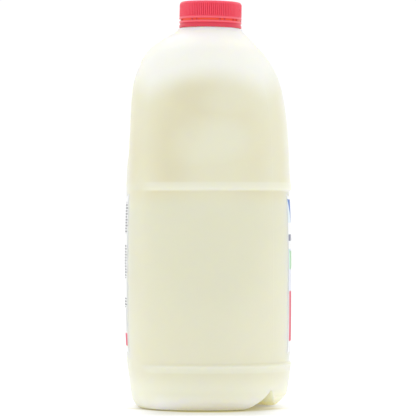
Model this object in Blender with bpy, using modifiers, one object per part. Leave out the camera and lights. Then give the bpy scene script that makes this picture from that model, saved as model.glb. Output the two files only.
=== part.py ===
# Plastic milk jug of two litres: rounded square bottle standing on two feet, grip
# through its rear corner, ribbed screw cap with its tamper band, and two labels.
# Metres, +Z up. +X is the pouring corner, -X the corner with the grip, and the
# halves of the bottle meet on the plane y = 0. The origin is on the floor, under the
# middle of the whole, and the body's own axis stands AXIS_X in front of it.
import math

import bmesh
import bpy
from mathutils import Matrix, Vector

MM = 0.001

# Driving dimensions, in millimetres.
AXIS_X = 1.14             # the body's own axis, so that the origin is under the middle
NECK_BASE = 246.6         # height where the shoulder ends
NECK_AXIS_X = 2.1         # the neck stands a little towards the pouring corner
NECK_TILT = 1.0           # degrees, towards the face with the front label
CAP_RADIUS = 20.45
CAP_HEIGHT = 17.2
CAP_BOTTOM = 248.5
CAP_WALL = 2.0
CAP_GAP = 0.35            # clear space between the cap and the neck
CAP_RIBS = 96
RIB_FOOT = 7.2            # heights over the cap's lower edge
RIB_HEAD = 15.6
RIB_DEPTH = 0.4
BRIDGE_INSET = 0.15
BRIDGE_VIEW = 315.0       # degrees from +X, the direction that the bridges are counted from
BRIDGE_TURNS = (-112.0, -69.0, -36.0, -26.0, 18.0, 27.0, 48.0, 58.0, 96.0, 128.0, 165.0, 205.0)
HEEL_HEIGHT = 12.0
REAR_HEEL_INSET = 7.2
FRONT_HEEL_INSET = 9.0
FRONT_HEEL_CURVE = 1.8    # 1 is a chamfer, 2 a curve that leaves the wall smoothly
FRONT_HEEL_SKEW = 5.6     # the heel draws in more on the side of the front label
PANEL_TOP = 141.0         # upper rib sits just above it
PANEL_BOTTOM = 30.4       # lower rib sits just below it
LABEL_TOP = 138.2
LABEL_BOTTOM = 36.8
LABEL_HALF_ANGLE = 24.5   # degrees round the bottle from the middle of a face
LABEL_GAP = 0.35
LABEL_THICKNESS = 0.25
LABEL_COLUMNS = 10
LABEL_ROWS = 12

# Distance of the faces from the axis against height: the two faces beside the
# pouring corner, then the two faces beside the grip.
FRONT_FACES = (
    (12.0, 52.6), (20.0, 53.4), (32.0, 54.4), (60.0, 54.6), (110.0, 54.5),
    (144.0, 54.0), (168.0, 53.2), (184.0, 52.1), (200.0, 50.1), (212.0, 47.5),
    (222.0, 43.4), (232.0, 36.6), (240.0, 29.0), (NECK_BASE, 22.7),
)
REAR_FACES = (
    (12.0, 50.8), (20.0, 51.8), (32.0, 53.5), (60.0, 54.5), (110.0, 54.4),
    (144.0, 53.7), (168.0, 52.8), (184.0, 52.1), (200.0, 51.5), (212.0, 50.3),
    (222.0, 47.4), (232.0, 41.3), (240.0, 32.3), (NECK_BASE, 19.8),
)

# Roundness of the corners: 2 is a circle, more is squarer.
FRONT_CORNER_POWER = 2.6
SIDE_CORNER_POWER = 2.7
REAR_CORNER_POWER = 3.1
ROUND_FROM = 186.0        # above this height the section turns into the round neck

# Relief of the front panel against height: ribs stand out, the panel sinks.
FRONT_RELIEF = (
    (20.0, 0.0), (24.6, 0.15), (26.6, 0.5), (28.6, 0.55), (PANEL_BOTTOM, -0.75),
    (33.0, -0.7), (40.0, -0.3), (60.0, 0.0), (112.0, 0.0), (131.0, -0.35),
    (138.4, -0.75), (PANEL_TOP, -0.8), (142.4, 0.5), (144.6, 0.6), (147.2, 0.25),
    (151.0, 0.0),
)
# Relief of the rear label panels, which have no ribs.
REAR_RELIEF = (
    (28.0, 0.0), (34.0, -0.4), (60.0, -0.1), (112.0, -0.1), (138.4, -0.4),
    (144.0, 0.0),
)

# Angles from +X between which each relief fades: front, then both ends of the rear one.
FRONT_RELIEF_END = (82.0, 91.0)
REAR_RELIEF_START = (99.0, 107.0)
REAR_RELIEF_END = (163.0, 171.0)

# Outside of the cap below its ribs: how far it lies inside CAP_RADIUS, against height.
BAND_PROFILE = (
    (0.15, 0.0), (0.0, 0.3), (0.0, 1.8), (0.5, 2.1), (0.5, 2.9), (0.0, 3.2), (0.0, 4.35),
)
SLIT_PROFILE = ((0.7, 4.5), (0.7, 5.65))
BEAD_PROFILE = ((-0.1, 5.8), (-0.1, 6.9))
CAP_SHOULDER = (0.45, 16.5)
CAP_RIM = (1.5, CAP_HEIGHT)

# Ring of the neck that shows under the cap: radius against height over the shoulder.
NECK_RING = ((21.25, 0.0), (21.2, 0.7))
NECK_LEDGE_RADIUS = 20.8

# Grip: finger hole, and the hollow that leads to it from each side.
GRIP_RIM_FRONT = 117.0    # degrees from +X where the hollow starts on the face
GRIP_RIM_REAR = 168.0     # degrees from +X where the grip's own side starts
GRIP_RIM_LOW = 153.0
GRIP_RIM_HIGH = 230.0
HOLE_INNER_X = -24.5
HOLE_OUTER_X = -45.6
HOLE_LOW = 165.0
HOLE_HIGH = 218.0
HOLE_EDGE_Y = 9.0         # half the width of the straight part of the hole
GRIP_BULGE = 4.2          # the grip's side swells between its edges
GRIP_WALL = (0.0, 0.1, 0.4, 0.75, 1.0)
RIM_ROUNDNESS = 0.55
HOLE_ROUNDNESS = 0.8

# Channel under the base, along the plane where the bottle's halves meet.
NOTCH_HEIGHT = 13.8
NOTCH_HALF_ANGLE = 20.0
NOTCH_CURVE = 2.0         # 1 has straight flanks, more has hollow ones
NOTCH_REACH = (0.3, 1.0)  # the notch rises between these shares of CORNER_DISTANCE
NOTCH_TAIL_HEIGHT = 4.5   # on one side the notch runs out slowly
NOTCH_TAIL_ANGLE = 62.0
NOTCH_TAIL_CURVE = 1.4
NOTCH_TAIL_REACH = (0.45, 0.85)
REAR_NOTCH_HEIGHT = 5.5
REAR_NOTCH_HALF_ANGLE = 14.0
REAR_NOTCH_CURVE = 1.2
BASE_HOLLOW = 4.2
BASE_RINGS = ((0.22, 1.0), (0.5, 0.85), (0.74, 0.6), (0.86, 0.0))   # size, share of BASE_HOLLOW
CORNER_DISTANCE = 58.0

# Columns of the bottle's net, in degrees from +X on one side of the plane y = 0.
FRONT_ANGLES = (
    0.0, 2.5, 5.0, 8.0, 11.5, 16.0, 22.0, 29.0, 36.0, 43.5, 51.0, 58.5, 66.0, 74.0, 82.0, 90.0,
)
SIDE_STEPS = 4
GRIP_COLUMNS = 12
GRIP_ROWS = 14
REAR_STEPS = 2

# Rows of the net between the foot and the grip's hollow, and above it.
FOOT_TOP = 17.0           # rows below this one follow the channel's edge
BODY_ROWS = (
    21.5, 24.6, 26.6, 28.6, 30.4, 33.0, 39.0, 50.0, 64.0, 80.0, 96.0, 112.0,
    124.0, 132.0, 138.4, 141.0, 142.4, 144.6, 147.2,
)
SHOULDER_ROWS = (234.0, 237.5, 240.5, 243.0, 245.2)
HEEL_STEPS = 5

FACE_ANGLE = math.radians(45.0)


def mix(first, second, amount):
    return first + (second - first) * amount


def smoothStep(low, high, value):
    amount = min(1.0, max(0.0, (value - low) / (high - low)))
    return amount * amount * (3.0 - 2.0 * amount)


def straightCurve(points, height):
    # A broken line through the points, level beyond both ends.
    if height <= points[0][0]:
        return points[0][1]
    for (lowHeight, lowValue), (highHeight, highValue) in zip(points, points[1:]):
        if height <= highHeight:
            return mix(lowValue, highValue, (height - lowHeight) / (highHeight - lowHeight))
    return points[-1][1]


def smoothCurve(points, height):
    # A curve through the points whose slope never jumps.
    height = min(max(height, points[0][0]), points[-1][0])
    index = 0
    while index < len(points) - 2 and height > points[index + 1][0]:
        index += 1

    def slope(at):
        before = points[max(at - 1, 0)]
        after = points[min(at + 1, len(points) - 1)]
        return (after[1] - before[1]) / (after[0] - before[0])

    (low, lowValue), (high, highValue) = points[index], points[index + 1]
    span = high - low
    t = (height - low) / span
    return (
        lowValue * (2 * t ** 3 - 3 * t ** 2 + 1)
        + slope(index) * span * (t ** 3 - 2 * t ** 2 + t)
        + highValue * (3 * t ** 2 - 2 * t ** 3)
        + slope(index + 1) * span * (t ** 3 - t ** 2)
    )


def heelInset(height, angle):
    # How far the heel draws in below its top: round behind, nearly a chamfer in front.
    drop = 1.0 - min(height, HEEL_HEIGHT) / HEEL_HEIGHT
    rear = REAR_HEEL_INSET * (1.0 - math.sqrt(1.0 - drop * drop))
    front = (FRONT_HEEL_INSET + FRONT_HEEL_SKEW * math.sin(angle)) * drop ** FRONT_HEEL_CURVE
    return mix(rear, front, 0.5 + 0.5 * math.cos(angle))


def relief(angle, height):
    turn = abs(math.degrees(math.atan2(math.sin(angle), math.cos(angle))))
    front = 1.0 - smoothStep(*FRONT_RELIEF_END, turn)
    rear = smoothStep(*REAR_RELIEF_START, turn) * (1.0 - smoothStep(*REAR_RELIEF_END, turn))
    return front * straightCurve(FRONT_RELIEF, height) + rear * straightCurve(REAR_RELIEF, height)


def bodyPoint(angle, height, outset=0.0):
    # A point on the bottle's skin, in millimetres, for an angle from +X in radians.
    frontFace = smoothCurve(FRONT_FACES, height)
    rearFace = smoothCurve(REAR_FACES, height)
    centre = (frontFace - rearFace) / math.sqrt(2.0)
    half = (frontFace + rearFace) / 2.0 - heelInset(height, angle)
    forward = math.cos(angle)
    sideways = math.sin(angle) ** 2
    power = SIDE_CORNER_POWER * sideways
    power += (FRONT_CORNER_POWER if forward > 0 else REAR_CORNER_POWER) * forward ** 2
    power = mix(power, 2.0, smoothStep(ROUND_FROM, NECK_BASE, height))
    alongFace = abs(math.cos(angle - FACE_ANGLE)) ** power
    acrossFace = abs(math.sin(angle - FACE_ANGLE)) ** power
    radius = half / (alongFace + acrossFace) ** (1.0 / power)
    radius += relief(angle, height) + outset
    return Vector((centre + radius * math.cos(angle), radius * math.sin(angle), height))


def channelHeight(point):
    # Height of the underside's channel above the floor at a point of the base.
    turn = math.degrees(math.atan2(point.y, point.x))
    reach = math.hypot(point.x, point.y) / CORNER_DISTANCE
    front = max(0.0, 1.0 - abs(turn) / NOTCH_HALF_ANGLE) ** NOTCH_CURVE
    height = front * mix(BASE_HOLLOW, NOTCH_HEIGHT, smoothStep(*NOTCH_REACH, reach))
    if turn > 0.0:
        tail = max(0.0, 1.0 - turn / NOTCH_TAIL_ANGLE) ** NOTCH_TAIL_CURVE
        height = max(height, NOTCH_TAIL_HEIGHT * tail * smoothStep(*NOTCH_TAIL_REACH, reach))
    behind = max(0.0, 1.0 - (180.0 - abs(turn)) / REAR_NOTCH_HALF_ANGLE) ** REAR_NOTCH_CURVE
    return max(height, behind * REAR_NOTCH_HEIGHT)


def footHeight(angle):
    # Height where the bottle's skin meets the channel, 0 where it meets the floor.
    lower = channelHeight(bodyPoint(angle, 0.0))
    return channelHeight(bodyPoint(angle, lower))


def neckPoint(radius, height, angle):
    # A point of the neck, which leans by NECK_TILT about its own foot.
    flat = Vector((radius * math.cos(angle), radius * math.sin(angle), height - NECK_BASE))
    leaning = neckLean() @ flat
    return leaning + Vector((NECK_AXIS_X, 0.0, NECK_BASE))


def neckLean():
    return Matrix.Rotation(math.radians(NECK_TILT), 3, Vector((-1.0, 1.0, 0.0)).normalized())


def netAngles():
    # Angles of the columns all the way round, and the index of each on its own side.
    half = list(FRONT_ANGLES)
    half += [90.0 + (GRIP_RIM_FRONT - 90.0) * step / SIDE_STEPS for step in range(1, SIDE_STEPS + 1)]
    gripSpan = GRIP_RIM_REAR - GRIP_RIM_FRONT
    half += [GRIP_RIM_FRONT + gripSpan * step / GRIP_COLUMNS for step in range(1, GRIP_COLUMNS + 1)]
    rearSpan = 180.0 - GRIP_RIM_REAR
    half += [GRIP_RIM_REAR + rearSpan * step / REAR_STEPS for step in range(1, REAR_STEPS + 1)]
    columns = [(math.radians(turn), 1, index) for index, turn in enumerate(half)]
    last = len(half) - 1
    columns += [(-math.radians(half[index]), -1, index) for index in range(last - 1, 0, -1)]
    return columns


def rounded(across, up, roundness):
    # Moves a point on the edge of a square towards the circle inside it.
    return (
        across * math.sqrt(1.0 - roundness * up * up / 2.0),
        up * math.sqrt(1.0 - roundness * across * across / 2.0),
    )


def holePoint(across, up, halfWidth):
    sideways, rise = rounded(across, up, HOLE_ROUNDNESS)
    middleX = (HOLE_INNER_X + HOLE_OUTER_X) / 2.0
    middleZ = (HOLE_LOW + HOLE_HIGH) / 2.0
    return Vector((
        middleX + sideways * (HOLE_OUTER_X - HOLE_INNER_X) / 2.0,
        halfWidth,
        middleZ + rise * (HOLE_HIGH - HOLE_LOW) / 2.0,
    ))


def gripDepth(column, row):
    # How many steps a net point lies inside the rim of the hollow.
    return min(column, GRIP_COLUMNS - column, row, GRIP_ROWS - row)


def gripPlace(column, row):
    # Step in from the rim, and the direction of a net point seen from the hole's middle.
    depth = gripDepth(column, row)
    across = (column - GRIP_COLUMNS / 2) / (GRIP_COLUMNS / 2 - depth)
    up = (row - GRIP_ROWS / 2) / (GRIP_ROWS / 2 - depth)
    return depth, across, up


def gripPoint(column, row, side):
    # A point of the hollow beside the grip: on the skin at its rim, then down the wall.
    depth, across, up = gripPlace(column, row)
    sideways, rise = rounded(across, up, RIM_ROUNDNESS)
    turn = (GRIP_RIM_FRONT + GRIP_RIM_REAR) / 2.0 + sideways * (GRIP_RIM_REAR - GRIP_RIM_FRONT) / 2.0
    height = (GRIP_RIM_LOW + GRIP_RIM_HIGH) / 2.0 + rise * (GRIP_RIM_HIGH - GRIP_RIM_LOW) / 2.0
    rim = bodyPoint(math.radians(turn) * side, height)
    edge = holePoint(across, up, HOLE_EDGE_Y * side)
    amount = GRIP_WALL[depth]
    point = rim.lerp(edge, amount)
    point.y += side * GRIP_BULGE * math.sin(math.pi * amount) * max(0.0, across) ** 2
    return point


def addLoop(bm, points):
    return [bm.verts.new(point * MM) for point in points]


def joinLoops(bm, lower, upper):
    # Faces between two closed loops. The upper loop may have twice as many points.
    count = len(lower)
    double = len(upper) == 2 * count
    for index in range(count):
        following = (index + 1) % count
        if double:
            first, middle = upper[2 * index], upper[2 * index + 1]
            last = upper[(2 * index + 2) % len(upper)]
            bm.faces.new((lower[index], middle, first))
            bm.faces.new((lower[index], lower[following], middle))
            bm.faces.new((lower[following], last, middle))
        else:
            bm.faces.new((lower[index], lower[following], upper[following], upper[index]))


def closeLoop(bm, loop, centre):
    # A fan of triangles from a loop to one middle point.
    middle = bm.verts.new(centre * MM)
    for index, vertex in enumerate(loop):
        bm.faces.new((vertex, loop[(index + 1) % len(loop)], middle))


def finishMesh(bm, name, collection, smoothAngle):
    bmesh.ops.recalc_face_normals(bm, faces=bm.faces)
    mesh = bpy.data.meshes.new(name)
    bm.to_mesh(mesh)
    bm.free()
    mesh.shade_smooth()
    mesh.set_sharp_from_angle(angle=math.radians(smoothAngle))
    part = bpy.data.objects.new(name, mesh)
    collection.objects.link(part)
    return part


def addMaterial(part, name, colour, roughness):
    material = bpy.data.materials.new(name)
    material.use_nodes = True
    shader = material.node_tree.nodes["Principled BSDF"]
    shader.inputs["Base Color"].default_value = (*colour, 1.0)
    shader.inputs["Roughness"].default_value = roughness
    shader.inputs["Metallic"].default_value = 0.0
    part.data.materials.append(material)


def buildBottle(collection):
    bm = bmesh.new()
    columns = netAngles()
    firstGrip = len(FRONT_ANGLES) - 1 + SIDE_STEPS

    # Underside, from the middle of the base out to the heel.
    loops = []
    feet = [footHeight(angle) for angle, _, _ in columns]
    for scale, share in BASE_RINGS:
        points = []
        for (angle, _, _), foot in zip(columns, feet):
            edge = bodyPoint(angle, foot)
            point = Vector((edge.x * scale, edge.y * scale, 0.0))
            point.z = max(share * BASE_HOLLOW, channelHeight(point))
            points.append(point)
        loops.append(addLoop(bm, points))

    # Heel, drawn together over the channel, and body below the grip.
    heelRows = [HEEL_HEIGHT * (1.0 - math.cos(math.radians(90.0 * step / HEEL_STEPS)))
                for step in range(HEEL_STEPS + 1)]
    for height in heelRows + [FOOT_TOP]:
        points = []
        for (angle, _, _), foot in zip(columns, feet):
            points.append(bodyPoint(angle, mix(foot, FOOT_TOP, height / FOOT_TOP)))
        loops.append(addLoop(bm, points))
    for height in BODY_ROWS:
        loops.append(addLoop(bm, [bodyPoint(angle, height) for angle, _, _ in columns]))
    for lower, upper in zip(loops, loops[1:]):
        joinLoops(bm, lower, upper)
    closeLoop(bm, loops[0], Vector((0.0, 0.0, BASE_HOLLOW)))

    # Rows beside the grip, with the hollows sunk into them and the hole left out.
    wallSteps = len(GRIP_WALL) - 1
    gripRows = []
    for row in range(GRIP_ROWS + 1):
        height = mix(GRIP_RIM_LOW, GRIP_RIM_HIGH, row / GRIP_ROWS)
        vertices = []
        for angle, side, index in columns:
            column = index - firstGrip
            if 0 <= column <= GRIP_COLUMNS:
                if gripDepth(column, row) > wallSteps:
                    vertices.append(None)
                    continue
                point = gripPoint(column, row, side)
            else:
                point = bodyPoint(angle, height)
            vertices.append(bm.verts.new(point * MM))
        gripRows.append(vertices)
    joinLoops(bm, loops[-1], gripRows[0])
    for row, (lower, upper) in enumerate(zip(gripRows, gripRows[1:])):
        for place in range(len(columns)):
            following = (place + 1) % len(columns)
            _, side, index = columns[place]
            _, nextSide, nextIndex = columns[following]
            column = min(index, nextIndex) - firstGrip
            columnOpen = wallSteps <= column < GRIP_COLUMNS - wallSteps
            rowOpen = wallSteps <= row < GRIP_ROWS - wallSteps
            if not (columnOpen and rowOpen):
                bm.faces.new((lower[place], lower[following], upper[following], upper[place]))

    # The hole's lining joins the rims of the hollows on the two sides.
    placeOf = {(side, index): place for place, (_, side, index) in enumerate(columns)}
    first, last = firstGrip + wallSteps, firstGrip + GRIP_COLUMNS - wallSteps
    low, high = wallSteps, GRIP_ROWS - wallSteps
    around = [(column, low) for column in range(first, last)]
    around += [(last, row) for row in range(low, high)]
    around += [(column, high) for column in range(last, first, -1)]
    around += [(first, row) for row in range(high, low, -1)]
    lining = {side: [gripRows[row][placeOf[side, column]] for column, row in around] for side in (1, -1)}
    middle = []
    for column, row in around:
        _, across, up = gripPlace(column - firstGrip, row)
        middle.append(holePoint(across, up, 0.0))
    middleLoop = addLoop(bm, middle)
    joinLoops(bm, lining[1], middleLoop)
    joinLoops(bm, middleLoop, lining[-1])

    # Shoulder, the ring under the cap, and the neck inside the cap.
    loops = [gripRows[-1]]
    for height in SHOULDER_ROWS:
        loops.append(addLoop(bm, [bodyPoint(angle, height) for angle, _, _ in columns]))
    neckRadius = CAP_RADIUS - CAP_WALL - CAP_GAP
    neckTop = CAP_BOTTOM + CAP_HEIGHT - CAP_WALL - CAP_GAP
    ledge = CAP_BOTTOM - CAP_GAP
    neckProfile = [(radius, NECK_BASE + rise) for radius, rise in NECK_RING]
    neckProfile += [(NECK_LEDGE_RADIUS, ledge), (neckRadius, ledge), (neckRadius, neckTop)]
    for radius, height in neckProfile:
        loops.append(addLoop(bm, [neckPoint(radius, height, angle) for angle, _, _ in columns]))
    for lower, upper in zip(loops, loops[1:]):
        joinLoops(bm, lower, upper)
    closeLoop(bm, loops[-1], neckPoint(0.0, neckTop, 0.0))

    bottle = finishMesh(bm, "bottle", collection, smoothAngle=55.0)
    addMaterial(bottle, "milky_plastic", (0.775, 0.745, 0.578), 0.42)
    return bottle


def buildCap(collection):
    # Local frame: z = 0 is the lower edge of the tamper band, the axis is the cap's.
    bm = bmesh.new()

    bridgePlaces = {round(CAP_RIBS * (BRIDGE_VIEW + turn) / 360.0) % CAP_RIBS for turn in BRIDGE_TURNS}

    def ring(inset, height, ribbed=False, bridged=False):
        count = 2 * CAP_RIBS if ribbed else CAP_RIBS
        points = []
        for index in range(count):
            turn = 2.0 * math.pi * index / count
            reach = CAP_RADIUS - inset
            if ribbed and index % 2:
                reach -= RIB_DEPTH
            if bridged and index in bridgePlaces:
                reach = CAP_RADIUS - BRIDGE_INSET
            points.append(Vector((reach * math.cos(turn), reach * math.sin(turn), height)))
        return addLoop(bm, points)

    ceiling = CAP_HEIGHT - CAP_WALL
    loops = [ring(CAP_WALL, ceiling), ring(CAP_WALL, 0.0)]
    loops += [ring(inset, height) for inset, height in BAND_PROFILE]
    loops += [ring(inset, height, bridged=True) for inset, height in SLIT_PROFILE]
    loops += [ring(inset, height) for inset, height in BEAD_PROFILE]
    loops += [ring(0.0, height, ribbed=True) for height in (RIB_FOOT, RIB_HEAD)]
    for lower, upper in zip(loops, loops[1:]):
        joinLoops(bm, lower, upper)
    shoulder = ring(*CAP_SHOULDER)
    rim = ring(*CAP_RIM)
    joinLoops(bm, rim, shoulder)
    joinLoops(bm, shoulder, loops[-1])
    closeLoop(bm, rim, Vector((0.0, 0.0, CAP_HEIGHT)))
    closeLoop(bm, loops[0], Vector((0.0, 0.0, ceiling)))

    cap = finishMesh(bm, "cap", collection, smoothAngle=30.0)
    cap.location = neckPoint(0.0, CAP_BOTTOM, 0.0) * MM
    cap.rotation_euler = neckLean().to_euler()
    addMaterial(cap, "red_cap", (0.807, 0.076, 0.122), 0.38)
    return cap


def buildLabel(collection, name, middleAngle, colour):
    # A printed skin just off the face, on a grid that follows the bottle's surface.
    bm = bmesh.new()
    bmesh.ops.create_grid(bm, x_segments=LABEL_COLUMNS, y_segments=LABEL_ROWS, size=1.0)
    middle = (LABEL_TOP + LABEL_BOTTOM) / 2.0
    for vertex in bm.verts:
        turn = math.radians(middleAngle + vertex.co.x * LABEL_HALF_ANGLE)
        height = middle + vertex.co.y * (LABEL_TOP - LABEL_BOTTOM) / 2.0
        vertex.co = bodyPoint(turn, height, LABEL_GAP) * MM
    mesh = bpy.data.meshes.new(name)
    bm.to_mesh(mesh)
    bm.free()
    mesh.shade_smooth()
    label = bpy.data.objects.new(name, mesh)
    collection.objects.link(label)
    skin = label.modifiers.new("Skin", "SOLIDIFY")
    skin.thickness = LABEL_THICKNESS * MM
    skin.offset = 1.0
    addMaterial(label, name + "_print", colour, 0.5)
    return label


def main():
    for old in list(bpy.data.objects):
        bpy.data.objects.remove(old, do_unlink=True)
    collection = bpy.data.collections.new("milk_jug")
    bpy.context.scene.collection.children.link(collection)
    axis = bpy.data.objects.new("body_axis", None)
    axis.location.x = AXIS_X * MM
    collection.objects.link(axis)
    parts = [
        buildBottle(collection),
        buildCap(collection),
        buildLabel(collection, "label_front", 45.0, (0.85, 0.88, 0.92)),
        buildLabel(collection, "label_back", 225.0, (0.88, 0.88, 0.88)),
    ]
    for part in parts:
        part.parent = axis


main()
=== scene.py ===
import math

import bmesh
import bpy
from mathutils import Matrix, Vector


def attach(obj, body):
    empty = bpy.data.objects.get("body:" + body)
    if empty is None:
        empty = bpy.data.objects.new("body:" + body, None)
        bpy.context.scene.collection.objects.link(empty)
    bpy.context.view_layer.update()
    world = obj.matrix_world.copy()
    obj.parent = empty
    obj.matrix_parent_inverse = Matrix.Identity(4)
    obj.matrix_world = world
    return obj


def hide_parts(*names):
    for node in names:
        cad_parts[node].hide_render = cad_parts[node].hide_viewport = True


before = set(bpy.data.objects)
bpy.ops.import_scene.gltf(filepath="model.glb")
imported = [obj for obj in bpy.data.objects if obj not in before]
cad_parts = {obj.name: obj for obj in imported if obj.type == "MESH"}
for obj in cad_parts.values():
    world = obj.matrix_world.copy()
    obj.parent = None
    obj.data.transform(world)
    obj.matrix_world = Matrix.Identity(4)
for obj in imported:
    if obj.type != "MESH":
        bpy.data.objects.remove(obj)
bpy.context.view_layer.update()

mm = 0.001
print("frame loaded:", sorted(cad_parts))


# the body's own axis, and the frame of the leaning neck, as the solids have them
jug = {
    "axisX": 1.14 * mm,
    "neckX": 2.1 * mm,          # from the body's axis
    "neckBase": 246.6 * mm,
    "capBottom": 248.5 * mm,
    "lean": 1.0,                # degrees, towards the front label's face
    "leanAxis": (-1.0, 1.0, 0.0),
}
axisPoint = Vector((jug["axisX"], 0.0, 0.0))
neckFoot = axisPoint + Vector((jug["neckX"], 0.0, jug["neckBase"]))


# selecting and editing, as by hand

def pickOnly(piece):
    if bpy.context.object and bpy.context.object.mode != "OBJECT":
        bpy.ops.object.mode_set(mode="OBJECT")
    bpy.ops.object.select_all(action="DESELECT")
    piece.select_set(True)
    bpy.context.view_layer.objects.active = piece


def selectWhere(piece, kind, test):
    # piece is in edit mode; kind is VERT, EDGE or FACE; test gets the middle of each
    bpy.ops.mesh.select_mode(type=kind)
    bpy.ops.mesh.select_all(action="DESELECT")
    bm = bmesh.from_edit_mesh(piece.data)
    parts = {"VERT": bm.verts, "EDGE": bm.edges, "FACE": bm.faces}[kind]
    count = 0
    for part in parts:
        if kind == "VERT":
            middle = part.co
        elif kind == "EDGE":
            middle = (part.verts[0].co + part.verts[1].co) / 2
        else:
            middle = part.calc_center_median()
        if test(middle, part):
            part.select_set(True)
            count += 1
    bm.select_flush_mode()
    bmesh.update_edit_mesh(piece.data)
    return count


def applyModifier(piece, kind, **settings):
    pickOnly(piece)
    modifier = piece.modifiers.new(kind.title(), kind)
    for name, value in settings.items():
        setattr(modifier, name, value)
    bpy.ops.object.modifier_apply(modifier=modifier.name)


def settle(piece, angle):
    # place goes into the mesh, and faces that meet under angle look round
    pickOnly(piece)
    bpy.ops.object.transform_apply(location=True, rotation=True, scale=True)
    bpy.ops.object.shade_smooth_by_angle(angle=math.radians(angle))


def dress(piece, material, node):
    piece.data.materials.clear()
    piece.data.materials.append(material)
    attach(piece, "root")
    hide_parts(node)
    print("piece:", piece.name, len(piece.data.polygons), "faces")


# shader maths: a Field is one socket, and expressions on Fields add Math nodes

class Field:
    def __init__(self, graph, socket):
        self.graph = graph
        self.socket = socket

    def maths(self, operation, *values, clamp=False):
        settings = {"operation": operation, "use_clamp": clamp}
        return self.graph.node("ShaderNodeMath", 0, settings, dict(enumerate(values)))

    def __add__(self, other):
        return self.maths("ADD", self, other)

    def __radd__(self, other):
        return self.maths("ADD", other, self)

    def __sub__(self, other):
        return self.maths("SUBTRACT", self, other)

    def __rsub__(self, other):
        return self.maths("SUBTRACT", other, self)

    def __mul__(self, other):
        return self.maths("MULTIPLY", self, other)

    def __rmul__(self, other):
        return self.maths("MULTIPLY", other, self)

    def __truediv__(self, other):
        return self.maths("DIVIDE", self, other)

    def __pow__(self, other):
        return self.maths("POWER", self, other)

    def __abs__(self):
        return self.maths("ABSOLUTE", self)

    def clamped(self):
        return self.maths("ADD", self, 0.0, clamp=True)

    def sine(self):
        return self.maths("SINE", self)

    def root(self):
        return self.maths("SQRT", self)

    def higher(self, other):
        return self.maths("MAXIMUM", self, other)

    def step(self, low, high):
        # 0 below low, 1 above high, smooth between
        return self.graph.node(
            "ShaderNodeMapRange", 0, {"interpolation_type": "SMOOTHSTEP"},
            {"Value": self, "From Min": low, "From Max": high, "To Min": 0.0, "To Max": 1.0})

    def fade(self, low, high):
        # 1 below low, 0 above high, smooth between
        return 1.0 - self.step(low, high)

    def band(self, rise, fall):
        # rises from 0 to 1 over the first range, falls back over the second
        return self.step(*rise) * self.fade(*fall)


class Graph:
    def __init__(self, name):
        self.material = bpy.data.materials.new(name)
        self.material.use_nodes = True
        self.tree = self.material.node_tree
        self.shader = self.tree.nodes["Principled BSDF"]

    def node(self, kind, output, settings=None, inputs=None):
        made = self.tree.nodes.new(kind)
        for name, value in (settings or {}).items():
            setattr(made, name, value)
        for name, value in (inputs or {}).items():
            self.plug(made.inputs[name], value)
        return Field(self, made.outputs[output])

    def plug(self, socket, value):
        if isinstance(value, Field):
            self.tree.links.new(value.socket, socket)
        elif socket.type == "RGBA":
            socket.default_value = (*value, 1.0)
        else:
            socket.default_value = value

    def set(self, **values):
        # sockets of the shader, with spaces written as underscores
        for name, value in values.items():
            self.plug(self.shader.inputs[name.replace("_", " ")], value)

    def place(self):
        # object coordinates, in metres
        return self.node("ShaderNodeTexCoord", "Object")

    def axes(self, vector):
        return [self.node("ShaderNodeSeparateXYZ", axis, None, {0: vector}) for axis in "XYZ"]

    def noise(self, vector, scale, detail=2.0, roughness=0.5):
        return self.node(
            "ShaderNodeTexNoise", 0, None,
            {"Vector": vector, "Scale": scale, "Detail": detail, "Roughness": roughness})

    def attribute(self, name, output):
        return self.node("ShaderNodeAttribute", output, {"attribute_name": name})

    def mix(self, factor, first, second):
        return self.node("ShaderNodeMix", 2, {"data_type": "RGBA", "clamp_factor": True},
                         {0: factor, 6: first, 7: second})

    def bump(self, height, distance, strength):
        return self.node("ShaderNodeBump", "Normal", None,
                         {"Height": height, "Distance": distance, "Strength": strength})


# milky plastic with the milk behind it: creamy below the milk's level, whiter above,
# with the faint waviness and orange peel of a blown wall and the line where its halves meet

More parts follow.
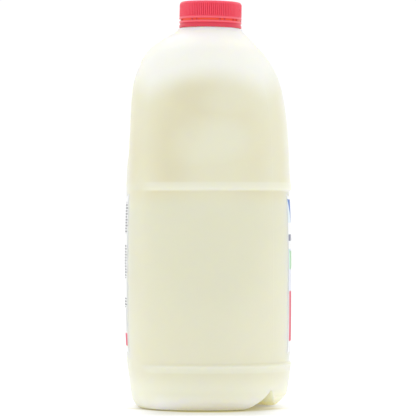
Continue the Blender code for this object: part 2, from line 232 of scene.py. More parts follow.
milky = {
    "milk": (0.775, 0.765, 0.612),
    "shade": (0.755, 0.740, 0.568),     # thinner places look yellower
    "warm": (0.742, 0.710, 0.515),      # in an arch on each shoulder, and as painted shade under the upper rib
    "deep": (0.690, 0.655, 0.475),      # darkest parts of that arch
    "pale": (0.780, 0.780, 0.640),      # soft patches inside it
    "paintedMidShade": (0.715, 0.714, 0.560),      # painted shade in the middle of each face
    "rim": (0.790, 0.805, 0.715),       # sheen of walls seen along their surface
    "empty": (0.862, 0.868, 0.812),     # above the milk
    # neck: whiter plastic with no milk behind it, lightened further as painted light against the cap's
    # shade
    "neck": (0.995, 0.995, 0.900),
    "paintedCollarLight": (1.000, 1.000, 0.830),    # painted light just under the cap, against its shade
    "thickAndLitRib": (0.805, 0.808, 0.705),     # ribs: partly a thicker wall, partly a painted highlight
    # painted light on the heel, as of light from the floor
    "heel": (0.865, 0.872, 0.752),
    "paintedSoleLight": (1.000, 1.000, 0.970),      # painted light on the lowest part of the heel, on the side of the floor's painted shadow
    "paintedYellowShade": (0.920, 0.800, 0.280),    # painted yellow shade low in the notch and on the far foot, as of light through the milk
    "paintedFlankLight": (0.970, 0.950, 0.760),     # painted light on the upper part of the channel's far side
    "foot": (0.400, 0.350, 0.120),      # painted contact shade where the jug stands and on low walls facing the floor
    # how much of each colour is mixed in
    "shadeMix": 0.35,
    "warmMix": 0.75,
    "paintedRibShadeMix": 0.85,
    "paintedMidShadeMix": 0.75,
    "deepMix": 0.45,
    "paleMix": 0.75,
    "rimMix": 0.80,
    "thickAndLitRibMix": 0.55,
    "heelMix": 0.70,
    "paintedSoleLightMix": 0.90,
    "paintedYellowShadeMix": 0.85,
    "farFootMix": 0.38,
    "paintedFlankLightMix": 0.75,
    "contactMix": 0.70,
    # soft ovals on each face: distance from its middle, height, half width and half height
    # in millimetres, softness and weight
    "paintedMidShadeOvals": ((0, 115, 44, 61, 0.40, 1.0),),
    "archOvals": ((-2, 166, 39, 46, 0.30, 1.0),),
    "paintedRibShadeOvals": ((0, 140, 42, 60, 0.15, 1.0),),
    "deepOvals": ((-19, 160, 12, 36, 0.55, 1.0), (-8, 198, 14, 12, 0.60, 1.0)),
    "paleOvals": ((5, 173, 20, 13, 0.70, 1.0), (12, 197, 13, 9, 0.65, 0.60),
                  (4, 152, 20, 18, 0.65, 0.55)),
    # heights over which a colour comes in or goes out
    "archFrom": (141 * mm, 150 * mm),
    "deepFrom": (143 * mm, 150 * mm),
    "paintedRibShadeBand": ((131 * mm, 141 * mm), (141 * mm, 143 * mm)),
    "level": (206 * mm, 226 * mm),      # the milk's upper limit at the middle of a face
    "levelDrop": 7.6,                   # per metre, with the square of the distance from there
    "levelWaver": 8 * mm,
    "neckFrom": (232 * mm, 243 * mm),
    "paintedCollarLightFrom": (243 * mm, 246 * mm),
    "heelTo": (13 * mm, 26 * mm),
    "paintedSoleLightTo": (2 * mm, 12 * mm),
    "footTo": (1 * mm, 4 * mm),
    "contactTo": (0.1 * mm, 1.0 * mm),
    "paintedYellowShadeTo": (1 * mm, 9 * mm),
    "farFootTo": (4 * mm, 14 * mm),
    "flankBand": ((2 * mm, 8 * mm), (14 * mm, 17 * mm)),
    "ribs": ((24.6 * mm, 29.4 * mm), (141.8 * mm, 147.0 * mm)),
    "ribEdge": 0.7 * mm,
    "ribsFrom": (-2 * mm, 8 * mm),      # along x: the rear panels have no ribs
    # where the sole's painted light and the channel lie
    "paintedSoleSide": (42 * mm, 62 * mm),
    "paintedSoleWidth": (28 * mm, 44 * mm),
    "channelSlope": 0.70,
    "channelSide": (-1 * mm, 6 * mm),
    "channelFrom": (10 * mm, 25 * mm),
    "farSlope": 0.10,
    "farSide": (-1 * mm, 3 * mm),
    "farFootFrom": (25 * mm, 40 * mm),
    # how far a wall has to face the floor
    "footUnder": (0.60, 0.98),
    "paintedYellowShadeUnder": (0.45, 0.70),
    "flankUnder": (0.42, 0.58),
    "cloudScale": 22.0,
    "cloudEdge": (0.35, 0.70),
    "peelScale": 950.0,
    "waveScale": 55.0,
    "scuffScale": 210.0,
    "scuffEdge": (0.60, 0.72),
    "driftScales": (26.0, 20.8),        # sideways and up and down
    "drift": 26 * mm,
    "rimFacing": (0.55, 1.0),
    "seamHalfWidth": 0.45 * mm,
    "waveHeight": 0.55,                 # of the bump's distance
    "peelHeight": 0.06,
    "seamHeight": 0.25,
    "bump": 0.25 * mm,
    "bumpStrength": 0.6,
    "roughness": 0.40,
}


def makeMilkyPlastic():
    g = Graph("milky_plastic")
    place = g.place()
    x, y, z = g.axes(place)
    cloud = g.noise(place, milky["cloudScale"], 3.0)
    peel = g.noise(place, milky["peelScale"])
    wave = g.noise(place, milky["waveScale"])
    scuff = g.noise(place, milky["scuffScale"], 6.0, 0.65).step(*milky["scuffEdge"])

    # across: distance from the middle of the face, on all four faces alike
    across = (abs(x - jug["axisX"]) - abs(y)) * math.sqrt(0.5)
    drift, drop = [
        (g.noise(place, scale, 1.0) - 0.5) * milky["drift"] for scale in milky["driftScales"]]

    def ovals(rows):
        inside = None
        for middle, height, wide, tall, softness, weight in rows:
            sideways = (across + drift - middle * mm) / (wide * mm)
            upward = (z + drop - height * mm) / (tall * mm)
            far = (sideways ** 2.0 + upward ** 2.0).root()
            one = far.fade(1.0 - softness, 1.0 + softness) * weight
            inside = inside.higher(one) if inside else one
        return inside

    creamy = g.mix(cloud.step(*milky["cloudEdge"]) * milky["shadeMix"], milky["milk"], milky["shade"])
    # painted shade in the middle of each face
    creamy = g.mix(ovals(milky["paintedMidShadeOvals"]) * milky["paintedMidShadeMix"], creamy, milky["paintedMidShade"])
    arch = ovals(milky["archOvals"]) * z.step(*milky["archFrom"]) * milky["warmMix"]
    # painted shade under the upper rib, from the shade it casts
    paintedRibShade = ovals(milky["paintedRibShadeOvals"]) * z.band(*milky["paintedRibShadeBand"]) * milky["paintedRibShadeMix"]
    creamy = g.mix(arch.higher(paintedRibShade), creamy, milky["warm"])
    deep = ovals(milky["deepOvals"]) * z.step(*milky["deepFrom"])
    creamy = g.mix(deep * milky["deepMix"], creamy, milky["deep"])
    creamy = g.mix(ovals(milky["paleOvals"]) * milky["paleMix"], creamy, milky["pale"])

    level = z + (across ** 2.0) * milky["levelDrop"] + (cloud - 0.5) * milky["levelWaver"]
    colour = g.mix(level.step(*milky["level"]), creamy, milky["empty"])
    # whiter neck, partly painted light; painted light just under the cap
    colour = g.mix(z.step(*milky["neckFrom"]), colour, milky["neck"])
    colour = g.mix(z.step(*milky["paintedCollarLightFrom"]), colour, milky["paintedCollarLight"])
    facing = g.node("ShaderNodeLayerWeight", "Facing", None, {"Blend": 0.5})
    colour = g.mix(facing.step(*milky["rimFacing"]) * milky["rimMix"], colour, milky["rim"])

    # painted light on the heel and sole, and painted contact shade where the jug stands
    under = g.attribute("under", "Fac")
    colour = g.mix(z.fade(*milky["heelTo"]) * milky["heelMix"], colour, milky["heel"])
    # painted light on the sole of the near plain face
    paintedSoleSide = (x - y).step(*milky["paintedSoleSide"]) * abs(across).fade(*milky["paintedSoleWidth"])
    colour = g.mix(z.fade(*milky["paintedSoleLightTo"]) * paintedSoleSide * milky["paintedSoleLightMix"], colour, milky["paintedSoleLight"])
    # painted shade on low walls that face the floor
    colour = g.mix(under.step(*milky["footUnder"]) * z.fade(*milky["footTo"]), colour, milky["foot"])

    # the channel between the two feet: painted yellow shade low on its far side and a little on the far
    # foot, and painted light on the upper part of that side
    channel = (x * milky["channelSlope"] - y).step(*milky["channelSide"])
    channel = channel * x.step(*milky["channelFrom"])
    farSide = channel * (y + x * milky["farSlope"]).step(*milky["farSide"])
    inNotch = farSide * under.step(*milky["paintedYellowShadeUnder"]) * z.fade(*milky["paintedYellowShadeTo"])
    farFoot = channel * y.step(*milky["farSide"]) * x.step(*milky["farFootFrom"])
    farFoot = farFoot * z.fade(*milky["farFootTo"]) * milky["farFootMix"]
    # painted yellow shade in the notch and on the far foot
    colour = g.mix((inNotch * milky["paintedYellowShadeMix"]).higher(farFoot), colour, milky["paintedYellowShade"])
    # painted light on the upper part of the channel's far side
    litFlank = farSide * under.step(*milky["flankUnder"]) * z.band(*milky["flankBand"])
    colour = g.mix(litFlank * milky["paintedFlankLightMix"], colour, milky["paintedFlankLight"])
    # painted contact shade along the lowest millimetre
    colour = g.mix(z.fade(*milky["contactTo"]) * milky["contactMix"], colour, milky["foot"])

    # ribs lighter: partly a thicker wall, partly a painted highlight on them
    edge = milky["ribEdge"]
    for low, high in milky["ribs"]:
        onRib = z.band((low - edge, low + edge), (high - edge, high + edge))
        onRib = onRib * x.step(*milky["ribsFrom"])
        colour = g.mix(onRib * milky["thickAndLitRibMix"], colour, milky["thickAndLitRib"])

    seam = 1.0 - (abs(y) / milky["seamHalfWidth"]).clamped()
    height = wave * milky["waveHeight"] + peel * milky["peelHeight"] + seam * milky["seamHeight"]
    g.set(
        Base_Color=colour,
        Roughness=milky["roughness"] + peel * 0.08 - scuff * 0.05,
        Normal=g.bump(height, milky["bump"], milky["bumpStrength"]),
        Subsurface_Weight=0.85,
        Subsurface_Radius=(1.0, 0.9, 0.4),
        Subsurface_Scale=12 * mm,
        Sheen_Weight=0.15,
        Sheen_Roughness=0.4,
        IOR=1.5,
    )
    return g.material


bottle = {
    "subdivisions": 2,
    "weld": 0.01 * mm,
    "quadAngle": 60.0,          # degrees, how unlike two triangles may be and still make a quad
    "roundAngle": 60.0,
    "ribRows": (28.6 * mm, 30.4 * mm, 141.0 * mm, 142.4 * mm),   # sharp sides of the two ribs
    "ribFront": 8 * mm,         # along x, where they are sharp
    "ribSharpness": 0.55,
    "footTop": 15.5 * mm,       # below this, edges sharper than footAngle stay tight
    "footAngle": 28.0,
    "footSharpness": 0.92,
    "footSoft": (1.5 * mm, 1.0 * mm),   # but not past this y and above this z, at the pouring corner
    "ledgeRows": (247.0 * mm, 248.3 * mm),
    "ledgeRadius": 20.3 * mm,
    "ledgeRise": 0.35 * mm,     # the ring under the cap stands closer to it than in the solid
}


def buildBottle():
    # the solid's own net, welded, made quads again and rounded
    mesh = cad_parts["bottle"].data.copy()
    piece = bpy.data.objects.new("bottle_shell", mesh)
    bpy.context.scene.collection.objects.link(piece)
    pickOnly(piece)
    bpy.ops.object.mode_set(mode="EDIT")
    bpy.ops.mesh.select_all(action="SELECT")
    bpy.ops.mesh.remove_doubles(threshold=bottle["weld"])
    likeness = math.radians(bottle["quadAngle"])
    bpy.ops.mesh.tris_convert_to_quads(face_threshold=likeness, shape_threshold=likeness)

    def onLedge(middle, vertex):
        low, high = bottle["ledgeRows"]
        return low < middle.z < high and (middle.xy - neckFoot.xy).length > bottle["ledgeRadius"]

    def onRib(middle, edge):
        level = abs(edge.verts[0].co.z - edge.verts[1].co.z) < 0.1 * mm
        near = any(abs(middle.z - row) < 0.3 * mm for row in bottle["ribRows"])
        return level and near and middle.x > bottle["ribFront"]

    def onFoot(middle, edge):
        # the channel's edge stays soft on the side of the front label
        softSide, softHeight = bottle["footSoft"]
        sharp = edge.is_manifold and edge.calc_face_angle() > math.radians(bottle["footAngle"])
        soft = middle.z > softHeight and middle.x > 0 and middle.y > softSide
        return sharp and middle.z < bottle["footTop"] and not soft

    print("ledge:", selectWhere(piece, "VERT", onLedge), "vertices")
    bpy.ops.transform.translate(value=(0, 0, bottle["ledgeRise"]))
    selectWhere(piece, "EDGE", onRib)
    bpy.ops.transform.edge_crease(value=bottle["ribSharpness"])
    selectWhere(piece, "EDGE", onFoot)
    bpy.ops.transform.edge_crease(value=bottle["footSharpness"])
    bpy.ops.object.mode_set(mode="OBJECT")
    applyModifier(piece, "SUBSURF", levels=bottle["subdivisions"], render_levels=bottle["subdivisions"])
    settle(piece, bottle["roundAngle"])
    # how much each spot faces the floor, for the painted shade and light in its finish
    under = piece.data.attributes.new("under", "FLOAT", "POINT")
    for vertex, cell in zip(piece.data.vertices, under.data):
        cell.value = max(0.0, -vertex.normal.z)
    dress(piece, makeMilkyPlastic(), "bottle")
    return piece


# red cap: one moulding of ribbed skirt, bead, slit with its bridges, ring and tamper band

cap = {
    "ribs": 96,
    "stepsPerRib": 4,
    "crest": 1.004,
    "groove": 0.972,
    # radius then height over the band's lower edge, in millimetres, from inside to the top
    "profile": (
        (18.45, 15.1), (18.45, 0.0), (20.15, 0.0), (20.38, 0.12), (20.45, 0.4), (20.45, 1.7),
        (20.35, 1.9), (20.0, 2.1), (19.95, 2.8), (20.2, 3.05), (20.4, 3.2), (20.45, 3.4),
        (20.45, 4.1), (20.3, 4.35), (19.75, 4.5), (19.75, 5.6), (20.4, 5.75), (20.55, 5.95),
        (20.58, 6.25), (20.55, 6.65), (20.4, 6.85), (20.25, 7.0), (20.3, 7.2), (20.35, 7.45),
        (20.35, 15.2), (20.3, 15.6), (20.2, 15.9), (20.05, 16.3), (19.7, 16.75), (19.2, 17.05),
        (18.6, 17.18), (17.9, 17.2), (17.4, 17.12), (17.0, 17.05), (12.0, 17.0), (6.0, 16.98),
        (2.0, 16.98),
    ),
    "ribRows": (7.3 * mm, 15.4 * mm),
    "ribRadius": 20 * mm,                   # the skirt is outside this
    "slitRows": (4.52 * mm, 5.58 * mm),
    "slitRadii": (19.5 * mm, 20 * mm),      # the slit's floor is between these
    "viewTurn": 315,                        # degrees, where the photograph looks from
    "bridgeTurns": (-112, -69, -36, -26, 18, 27, 48, 58, 96, 128, 165, 205),    # from viewTurn
    "bridgeHalf": 1.1,
    "bridgeReach": 1.032,
    "weld": 0.002 * mm,
    "roundAngle": 35.0,
    "localUnit": 25 * mm,                   # radius and height are kept in this unit, from 0 to 1
    "red": (0.900, 0.066, 0.120),
    "redDull": (0.860, 0.056, 0.102),
    "worn": (0.90, 0.25, 0.28),
    "deep": (0.52, 0.014, 0.040),           # painted shade between the ribs, in the groove, on the slit's bridges and over the tamper band
    # painted highlight on the raised bead and lip
    "paintedBeadLight": (0.90, 0.170, 0.210),
    "glow": (0.89, 0.080, 0.009),           # painted glow in the slit, as of light through its thin wall
    # heights of the places that differ in colour
    "skirtBand": ((7.4 * mm, 8.0 * mm), (15.2 * mm, 15.8 * mm)),
    "beadBand": ((5.8 * mm, 6.1 * mm), (6.8 * mm, 7.1 * mm)),
    "lipBand": ((3.2 * mm, 3.5 * mm), (4.1 * mm, 4.4 * mm)),
    "grooveBand": ((1.8 * mm, 2.1 * mm), (2.9 * mm, 3.2 * mm)),
    "slitBand": ((4.35 * mm, 4.55 * mm), (5.55 * mm, 5.75 * mm)),
    "tamperTo": (1.7 * mm, 2.0 * mm),
    # and their distances from the cap's axis
    "betweenRibs": (19.85 * mm, 20.15 * mm),
    "bridgeFrom": (20.0 * mm, 20.3 * mm),
    "glowRadii": ((19.3 * mm, 19.5 * mm), (19.8 * mm, 20.1 * mm)),
    # how much of each colour is mixed in
    "dullMix": 0.50,
    "wornMix": 0.10,
    "deepMix": 0.50,
    "paintedBeadLightMix": 0.70,
    "grooveMix": 0.50,
    "bridgeMix": 0.85,
    "tamperMix": 0.45,
    "glowMix": 0.90,
}


def makeRedPlastic():
    g = Graph("red_cap")
    place = g.place()
    cloud = g.noise(place, 90.0, 3.0)
    grain = g.noise(place, 2600.0)
    wear = g.noise(place, 420.0, 6.0, 0.7).step(0.58, 0.75)
    local = g.attribute("local", "Color")
    radius, height, _ = [part * cap["localUnit"] for part in g.axes(local)]

    colour = g.mix(cloud.step(0.3, 0.7) * cap["dullMix"], cap["red"], cap["redDull"])
    colour = g.mix(wear * cap["wornMix"], colour, cap["worn"])
    # painted shade between the ribs
    between = height.band(*cap["skirtBand"]) * radius.fade(*cap["betweenRibs"])
    colour = g.mix(between * cap["deepMix"], colour, cap["deep"])
    # painted highlight on the raised bead and lip
    beadAndLipLit = height.band(*cap["beadBand"]).higher(height.band(*cap["lipBand"]))
    colour = g.mix(beadAndLipLit * cap["paintedBeadLightMix"], colour, cap["paintedBeadLight"])
    inSlit = height.band(*cap["slitBand"])
    # painted shade in the groove, on the slit's bridges and over the tamper band
    inGroove = height.band(*cap["grooveBand"]) * cap["grooveMix"]
    atBridge = inSlit * radius.step(*cap["bridgeFrom"]) * cap["bridgeMix"]
    onTamper = height.fade(*cap["tamperTo"]) * cap["tamperMix"]
    colour = g.mix(inGroove.higher(atBridge).higher(onTamper), colour, cap["deep"])
    # painted glow in the slit
    colour = g.mix(inSlit * radius.band(*cap["glowRadii"]) * cap["glowMix"], colour, cap["glow"])
    g.set(
        Base_Color=colour,
        Roughness=0.34 + cloud * 0.08 + wear * 0.08,
        Normal=g.bump(grain * 0.5 + cloud, 0.03 * mm, 0.5),
        Subsurface_Weight=0.25,
        Subsurface_Radius=(1.0, 0.25, 0.18),
        Subsurface_Scale=2.5 * mm,
        IOR=1.49,
    )
    return g.material


def widen(scale, height=0.0):
    # the selected parts, from the cap's axis, before the cap is put in its place
    bpy.ops.transform.resize(value=(scale, scale, 1.0), center_override=(0, 0, height))


def pullUp(height=0.0):
    # extrudes what is selected, straight up or in place
    bpy.ops.mesh.extrude_region_move(TRANSFORM_OT_translate={"value": (0, 0, height)})


def buildCap():
    count = cap["ribs"] * cap["stepsPerRib"]
    radius, height = cap["profile"][0]
    bpy.ops.object.select_all(action="DESELECT")
    bpy.ops.mesh.primitive_circle_add(vertices=count, radius=radius * mm, location=(0, 0, height * mm))
    piece = bpy.context.object
    piece.name = "cap_ribbed"
    bpy.ops.object.transform_apply(location=True, rotation=True, scale=True)
    bpy.ops.object.mode_set(mode="EDIT")
    bpy.ops.mesh.select_all(action="SELECT")
    pullUp()
    bpy.ops.mesh.merge(type="CENTER")       # closes the ceiling over the neck
    selectWhere(piece, "VERT", lambda middle, vertex: middle.xy.length > 1 * mm)
    for nextRadius, nextHeight in cap["profile"][1:]:
        pullUp((nextHeight - height) * mm)
        widen(nextRadius / radius, nextHeight * mm)
        radius, height = nextRadius, nextHeight
    pullUp()
    bpy.ops.mesh.merge(type="CENTER")       # and the top

    # ribs: every fourth upright line of the skirt stands out, the lines half way sink in
    def onLine(middle, wanted):
        low, high = cap["ribRows"]
        if not low < middle.z < high or middle.xy.length < cap["ribRadius"]:
            return False
        turn = math.atan2(middle.y, middle.x) / (2 * math.pi) * count
        return round(turn) % cap["stepsPerRib"] == wanted

    for wanted, scale in ((0, cap["crest"]), (cap["stepsPerRib"] // 2, cap["groove"])):
        selectWhere(piece, "VERT", lambda middle, vertex: onLine(middle, wanted))
        widen(scale)

    # bridges: short stretches of the slit's floor pulled out to the skirt
    def onBridge(middle, face):
        low, high = cap["slitRows"]
        inner, outer = cap["slitRadii"]
        if not low < middle.z < high or not inner < middle.xy.length < outer:
            return False
        turn = math.degrees(math.atan2(middle.y, middle.x)) - cap["viewTurn"]
        gaps = [abs((turn - bridge + 180) % 360 - 180) for bridge in cap["bridgeTurns"]]
        return min(gaps) < cap["bridgeHalf"]

    selectWhere(piece, "FACE", onBridge)
    pullUp()
    widen(cap["bridgeReach"])
    bpy.ops.mesh.select_all(action="SELECT")
    bpy.ops.mesh.remove_doubles(threshold=cap["weld"])
    bpy.ops.mesh.normals_make_consistent(inside=False)
    bpy.ops.object.mode_set(mode="OBJECT")

    # radius and height before the cap leans, for its finish
    local = piece.data.color_attributes.new("local", "FLOAT_COLOR", "POINT")
    unit = cap["localUnit"]
    for vertex, cell in zip(piece.data.vertices, local.data):
        cell.color = (vertex.co.xy.length / unit, vertex.co.z / unit, 0.0, 1.0)

    lean = Matrix.Rotation(math.radians(jug["lean"]), 4, Vector(jug["leanAxis"]).normalized())
    rise = Matrix.Translation((0.0, 0.0, jug["capBottom"] - jug["neckBase"]))
    piece.matrix_world = Matrix.Translation(neckFoot) @ lean @ rise
    settle(piece, cap["roundAngle"])
    dress(piece, makeRedPlastic(), "cap")


# labels: thin printed skins drawn onto the finished wall, with generic fields of colour

label = {
    "halfWidth": 22.8 * mm,
    "bottom": 36.8 * mm,
    "top": 138.2 * mm,
    "corner": 4.0 * mm,
    "columns": 26,
    "rows": 52,
    "standOff": 70 * mm,        # from the body's axis, before it is drawn in to the wall
    "lift": 0.22 * mm,
    "thickness": 0.45 * mm,
    "roundAngle": 40.0,
    "frontTurn": 45.0,          # the two faces' directions, in degrees from x
    "backTurn": 225.0,
}
labelHeight = label["top"] - label["bottom"]
labelWidth = 2 * label["halfWidth"]


def buildLabel(name, turn, shell, material, node):
    outward = Vector((math.cos(math.radians(turn)), math.sin(math.radians(turn)), 0.0))
    up = Vector((0.0, 0.0, 1.0))
    right = up.cross(outward)
    bpy.ops.object.select_all(action="DESELECT")
    bpy.ops.mesh.primitive_grid_add(
        x_subdivisions=label["columns"], y_subdivisions=label["rows"], size=1.0, calc_uvs=True)
    piece = bpy.context.object
    piece.name = name
    bpy.ops.object.mode_set(mode="EDIT")
    bpy.ops.mesh.select_all(action="SELECT")
    bpy.ops.transform.resize(value=(labelWidth, labelHeight, 1.0))
    bpy.ops.object.mode_set(mode="OBJECT")
    # rounded corners: the square patch in each corner is drawn in to a quarter circle
    for vertex in piece.data.vertices:
        inX = abs(vertex.co.x) - (labelWidth / 2 - label["corner"])
        inY = abs(vertex.co.y) - (labelHeight / 2 - label["corner"])
        if inX > 0 and inY > 0:
            across, along = inX / label["corner"], inY / label["corner"]
            roundX = across * math.sqrt(1 - along ** 2 / 2) - across
            roundY = along * math.sqrt(1 - across ** 2 / 2) - along
            vertex.co.x += math.copysign(roundX * label["corner"], vertex.co.x)
            vertex.co.y += math.copysign(roundY * label["corner"], vertex.co.y)
    middle = axisPoint + outward * label["standOff"] + up * (label["top"] + label["bottom"]) / 2
    turned = Matrix((right, up, outward)).transposed().to_4x4()
    piece.matrix_world = Matrix.Translation(middle) @ turned
    applyModifier(piece, "SHRINKWRAP", target=shell, wrap_method="PROJECT", use_project_z=True,
                  use_negative_direction=True, use_positive_direction=False, offset=label["lift"])
    applyModifier(piece, "SOLIDIFY", thickness=label["thickness"], offset=-1.0)
    settle(piece, label["roundAngle"])
    dress(piece, material, node)


# print: a patch is its left, right, lower and upper limit in millimetres, across from the
# label's middle and up from its lower edge

labelFilm = {
    "aged": (0.55, 0.55, 0.50),
    "agedMix": 0.06,
    "roughness": 0.42,
}

frontPrint = {
    "white": (0.90, 0.91, 0.91),
    "sky": (0.74, 0.83, 0.88),
    "skyPatch": (-22.8, 22.8, 84.0, 99.0),
    "pennant": (0.045, 0.16, 0.52),
    "pennantPatch": (-22.3, 22.3, 84.0, 99.2),
    "pennantSlope": 0.8,                # how fast each side widens upwards
    "pennantEdge": (-57.1, -56.6),
    "lilac": (0.76, 0.79, 0.88),
    "lilacPatch": (-22.8, 22.8, 39.5, 67.0),
    "hillPatch": (-21.6, 22.8, 54.0, 80.0),
    "meadow": (0.14, 0.42, 0.18),
    "meadowHazy": (0.50, 0.80, 0.66),   # towards the label's sides
    "meadowTop": (69.5, 70.1),
    "nearHill": (0.24, 0.55, 0.22),
    "nearHillHazy": (0.62, 0.86, 0.74),
    "nearHillTop": (61.6, 62.2),
    "haze": (13.0, 20.5),
    "hazeMix": 0.85,
    "sun": (0.93, 0.66, 0.12),
    "sunSpot": (9.5, 76.5, 5.2),
    "bar": (0.10, 0.12, 0.22),
    "bars": ((-22.3, -17.5, 72.2, 76.4), (-15.5, 1.0, 72.2, 76.4)),
    "red": (0.74, 0.070, 0.140),
    "redPatch": (-21.3, 21.3, 7.0, 39.5),
    "dropSpot": (0.0, 19.5, 7.6),
    "dropPatch": (-6.8, 6.8, 21.0, 36.0),
    "dropTop": (35.4, 36.0),
    "dropShade": (0.62, 0.72, 0.90),
    "dropShadeSpot": (-2.6, 18.0, 3.3),
}

backPrint = {
    "white": (0.90, 0.91, 0.90),
    "panel": (0.80, 0.81, 0.82),
    "panelPatch": (-21.6, 21.4, 76.5, 98.0),
    "grey": (0.20, 0.21, 0.22),
    "greyMix": 0.9,
    "barPitch": 1.9,
    "barEdge": (-0.35, -0.10),
    "barPatches": (                     # the right limit wavers
        (-20.5, 21.5, 77.5, 97.0), (-19.0, 21.2, 48.0, 70.0), (-19.0, 21.6, 29.0, 35.0)),
    "green": (0.20, 0.46, 0.16),
    "greenPatch": (-20.0, -11.0, 12.9, 27.0),
    "linePatch": (20.3, 21.4, 13.0, 28.5),
    "lineMix": 0.8,
    "red": (0.74, 0.070, 0.140),
    "redPatch": (-22.0, 22.0, 4.0, 12.2),
}


def startPrint(name):
    # label coordinates in millimetres: across from the middle, up from the lower edge
    g = Graph(name)
    u, v, _ = g.axes(g.node("ShaderNodeTexCoord", "UV"))
    return g, (u - 0.5) * (labelWidth / mm), v * (labelHeight / mm)


def finishPrint(g, colour):
    # paper-like film: faint fibre, soft gloss and a slightly uneven tone
    place = g.place()
    fibre = g.noise(place, 1400.0, 3.0)
    uneven = g.noise(place, 60.0, 3.0)
    aged = uneven.step(0.35, 0.75) * labelFilm["agedMix"]
    g.set(
        Base_Color=g.mix(aged, colour, labelFilm["aged"]),
        Roughness=labelFilm["roughness"] + fibre * 0.16,
        Normal=g.bump(fibre * 0.4 + uneven, 0.04 * mm, 0.5),
        IOR=1.5,
    )
    return g.material


def patch(across, up, limits, soft=0.25):
    # 1 inside a rectangle
    left, right, low, high = limits
    inX = across.band((left - soft, left + soft), (right - soft, right + soft))
    return inX * up.band((low - soft, low + soft), (high - soft, high + soft))


def disc(across, up, spot, stretch=1.0, soft=0.25):
    # 1 inside a circle; spot is its middle and radius
    x, y, radius = spot
    distance = (((across - x) * stretch) ** 2.0 + (up - y) ** 2.0).root()
    return distance.fade(radius - soft, radius + soft)


def makeFrontPrint():
    # white ground, slanted blue field, green hills before lilac, and a broad red field below
    look = frontPrint
    g, across, up = startPrint("label_front_print")
    colour = g.mix(patch(across, up, look["skyPatch"]), look["white"], look["sky"])
    pennant = (abs(across) - up * look["pennantSlope"]).fade(*look["pennantEdge"])
    pennant = patch(across, up, look["pennantPatch"]) * pennant
    colour = g.mix(pennant, colour, look["pennant"])
    colour = g.mix(patch(across, up, look["lilacPatch"]), colour, look["lilac"])

    roll = (across * 0.10).sine() * 3.0 + (across * 0.19 + 1.0).sine() * 1.4
    onHills = patch(across, up, look["hillPatch"], 0.9)
    haze = abs(across).step(*look["haze"]) * look["hazeMix"]
    meadow = onHills * (up - roll).fade(*look["meadowTop"])
    colour = g.mix(meadow, colour, g.mix(haze, look["meadow"], look["meadowHazy"]))
    nearHill = onHills * (up + roll * 0.8).fade(*look["nearHillTop"])
    colour = g.mix(nearHill, colour, g.mix(haze, look["nearHill"], look["nearHillHazy"]))

    colour = g.mix(disc(across, up, look["sunSpot"]), colour, look["sun"])
    for bar in look["bars"]:
        colour = g.mix(patch(across, up, bar), colour, look["bar"])
    colour = g.mix(patch(across, up, look["redPatch"], 0.5), colour, look["red"])
    tip = patch(across, up, look["dropPatch"]) * (abs(across) * 2.0 + up).fade(*look["dropTop"])
    colour = g.mix(disc(across, up, look["dropSpot"]).higher(tip), colour, look["white"])
    shade = disc(across, up, look["dropShadeSpot"], 1.3) * 0.5
    colour = g.mix(shade, colour, look["dropShade"])
    return finishPrint(g, colour)


def makeBackPrint():
    # white ground with plain grey bars as in a table, a green block, a thin line and a red foot
    look = backPrint
    g, across, up = startPrint("label_back_print")
    colour = g.mix(patch(across, up, look["panelPatch"]), look["white"], look["panel"])
    bars = (up * (2 * math.pi / look["barPitch"])).sine().step(*look["barEdge"]) * look["greyMix"]
    waver = (up * 1.7).sine() * 0.7 + (up * 0.61 + 1.0).sine() * 0.5
    for left, right, low, high in look["barPatches"]:
        block = patch(across, up, (left, waver + right, low, high))
        colour = g.mix(block * bars, colour, look["grey"])
    colour = g.mix(patch(across, up, look["greenPatch"]), colour, look["green"])
    colour = g.mix(patch(across, up, look["linePatch"]) * look["lineMix"], colour, look["grey"])
    colour = g.mix(patch(across, up, look["redPatch"], 0.5), colour, look["red"])
    return finishPrint(g, colour)


# room: white floor, white surroundings, and one large soft light above and behind the jug

studio = {
    "distance": 1.740,
    "eyeHeight": 130.4 * mm,
    "viewTurn": 45.0,           # the camera's azimuth in degrees, 0 at -Y
    "lens": 228.6,
    "sensor": 36.0,
    "behind": 1.03,             # strength of the room's white behind the jug and before it
    "before": 0.95,
    "turnRange": (-0.7, 1.0),   # where one gives way to the other, from behind to the camera
    "backdrop": 1.05,           # strength of the white that the camera sees
    "lightTurn": 225.0,         # azimuth and height of the light, and its width, in degrees
    "lightRise": 60.0,
    "lightWidth": 50.0,
    "lightStrength": 0.75,
}

ground = {
    "size": 6.0,
    "pale": (0.64, 0.64, 0.64),
    "dull": (0.61, 0.61, 0.61),
    "dullMix": 0.5,
    "lit": (1.0, 1.0, 0.985),       # lit a little from below, so that shadows stay pale
    "glow": 0.42,
    "paintedMilkShadow": (0.46, 0.41, 0.16),    # painted shadow on the floor under the jug's edge, yellowed as by light through the milk
    "paintedSoftShadow": (0.48, 0.47, 0.39),     # painted soft shadow before it
    # distances from the jug's axis
    "ring": ((38 * mm, 44 * mm), (51 * mm, 61 * mm)),
    "ringMix": 0.85,
    "cornerTo": (44 * mm, 58 * mm),
    "ahead": (10 * mm, 34 * mm),    # towards the near plain face
    "belowTo": (24 * mm, 54 * mm),
    "belowShift": 8 * mm,
    "belowNarrow": 1.15,
    "belowMix": 0.95,
    "paintedSoftShadowTo": (55 * mm, 105 * mm),
    "paintedSoftShadowWidth": (26 * mm, 50 * mm),
    "paintedSoftShadowMix": 0.55,
    "squareness": 3.0,              # 2 is round
}


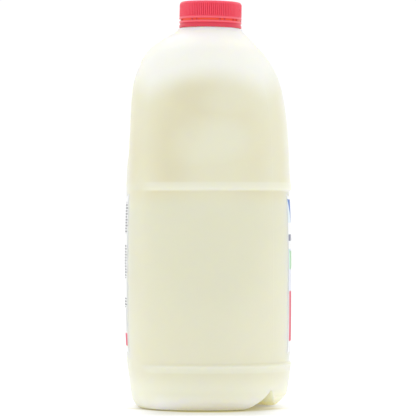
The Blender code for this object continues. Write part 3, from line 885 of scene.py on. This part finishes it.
def makeFloorFinish():
    g = Graph("floor_white")
    place = g.place()
    x, y, _ = g.axes(place)
    mottle = g.noise(place, 8.0)
    colour = g.mix(mottle * ground["dullMix"], ground["pale"], ground["dull"])
    # first runs along the near plain face, second towards it
    first, second = [(x - jug["axisX"] + y * side) * math.sqrt(0.5) for side in (1, -1)]

    def outFrom(alongFace, toFace):
        power = ground["squareness"]
        return (abs(alongFace) ** power + abs(toFace) ** power) ** (1 / power)

    # painted shadow on the floor round the jug's foot, yellowed as by light through the milk
    away = outFrom(first, second)
    ahead = second.step(*ground["ahead"])
    corner = abs(x).higher(abs(y)).fade(*ground["cornerTo"])
    paintedMilkShadow = away.band(*ground["ring"]) * ground["ringMix"] * corner * ahead
    # the painted shadow is darkest deep under the jug, seen through the channel
    below = outFrom(first * ground["belowNarrow"], second - ground["belowShift"])
    paintedMilkShadow = paintedMilkShadow.higher(below.fade(*ground["belowTo"]) * ground["belowMix"])
    # painted soft shadow on the floor before the jug
    paintedSoftShadow = away.fade(*ground["paintedSoftShadowTo"]) * abs(first).fade(*ground["paintedSoftShadowWidth"]) * ground["paintedSoftShadowMix"]
    paintedSoftShadow = paintedSoftShadow * ahead
    tinted = g.mix(paintedSoftShadow, colour, ground["paintedSoftShadow"])
    lit = g.mix(paintedSoftShadow, ground["lit"], ground["paintedSoftShadow"])
    # painted shadows darken both the floor's colour and its glow
    g.set(
        Base_Color=g.mix(paintedMilkShadow, tinted, ground["paintedMilkShadow"]),
        Roughness=0.85 + mottle * 0.1,
        Specular_IOR_Level=0.1,
        Emission_Color=g.mix(paintedMilkShadow, lit, ground["paintedMilkShadow"]),
        Emission_Strength=ground["glow"],
    )
    return g.material


def buildFloor():
    bpy.ops.object.select_all(action="DESELECT")
    bpy.ops.mesh.primitive_plane_add(size=ground["size"])
    floor = bpy.context.object
    floor.name = "floor"
    floor.data.materials.append(makeFloorFinish())


def towards(turn, rise):
    # direction from the jug to an azimuth and height in degrees, azimuth 0 at -Y
    turn, rise = math.radians(turn), math.radians(rise)
    return Vector((math.sin(turn) * math.cos(rise), -math.cos(turn) * math.cos(rise), math.sin(rise)))


def buildWorld():
    # white room, a little darker on the camera's side, and plain white as the camera sees it
    world = bpy.data.worlds.new("studio")
    bpy.context.scene.world = world
    world.use_nodes = True
    tree = world.node_tree
    background = tree.nodes["Background"]
    background.inputs["Color"].default_value = (1.0, 1.0, 1.0, 1.0)
    direction = tree.nodes.new("ShaderNodeTexCoord")
    facing = tree.nodes.new("ShaderNodeVectorMath")
    facing.operation = "DOT_PRODUCT"
    facing.inputs[1].default_value = towards(studio["viewTurn"], 0.0)
    tree.links.new(direction.outputs["Generated"], facing.inputs[0])
    around = tree.nodes.new("ShaderNodeMapRange")
    around.interpolation_type = "SMOOTHSTEP"
    around.inputs["From Min"].default_value = studio["turnRange"][0]
    around.inputs["From Max"].default_value = studio["turnRange"][1]
    around.inputs["To Min"].default_value = studio["behind"]
    around.inputs["To Max"].default_value = studio["before"]
    tree.links.new(facing.outputs["Value"], around.inputs["Value"])
    path = tree.nodes.new("ShaderNodeLightPath")
    power = tree.nodes.new("ShaderNodeMix")
    power.inputs[3].default_value = studio["backdrop"]
    tree.links.new(path.outputs["Is Camera Ray"], power.inputs[0])
    tree.links.new(around.outputs["Result"], power.inputs[2])
    tree.links.new(power.outputs[0], background.inputs["Strength"])


def buildLight():
    lamp = bpy.data.lights.new("light_above", "SUN")
    lamp.energy = studio["lightStrength"]
    lamp.angle = math.radians(studio["lightWidth"])
    holder = bpy.data.objects.new("light_above", lamp)
    bpy.context.scene.collection.objects.link(holder)
    holder.location = towards(studio["lightTurn"], studio["lightRise"])
    holder.rotation_euler = (-holder.location).to_track_quat("-Z", "Y").to_euler()


def buildCamera():
    data = bpy.data.cameras.new("camera")
    data.lens = studio["lens"]
    data.sensor_width = studio["sensor"]
    camera = bpy.data.objects.new("camera", data)
    bpy.context.scene.collection.objects.link(camera)
    target = axisPoint + Vector((0.0, 0.0, studio["eyeHeight"]))
    camera.location = target + studio["distance"] * towards(studio["viewTurn"], 0.0)
    camera.rotation_euler = (target - camera.location).to_track_quat("-Z", "Y").to_euler()
    bpy.context.scene.camera = camera


buildFloor()
buildWorld()
buildLight()
buildCamera()
bpy.context.scene.view_settings.view_transform = "Standard"
print("room ready")

shell = buildBottle()
buildCap()
buildLabel("label_front_skin", label["frontTurn"], shell,
           makeFrontPrint(), "label_front")
buildLabel("label_back_skin", label["backTurn"], shell,
           makeBackPrint(), "label_back")
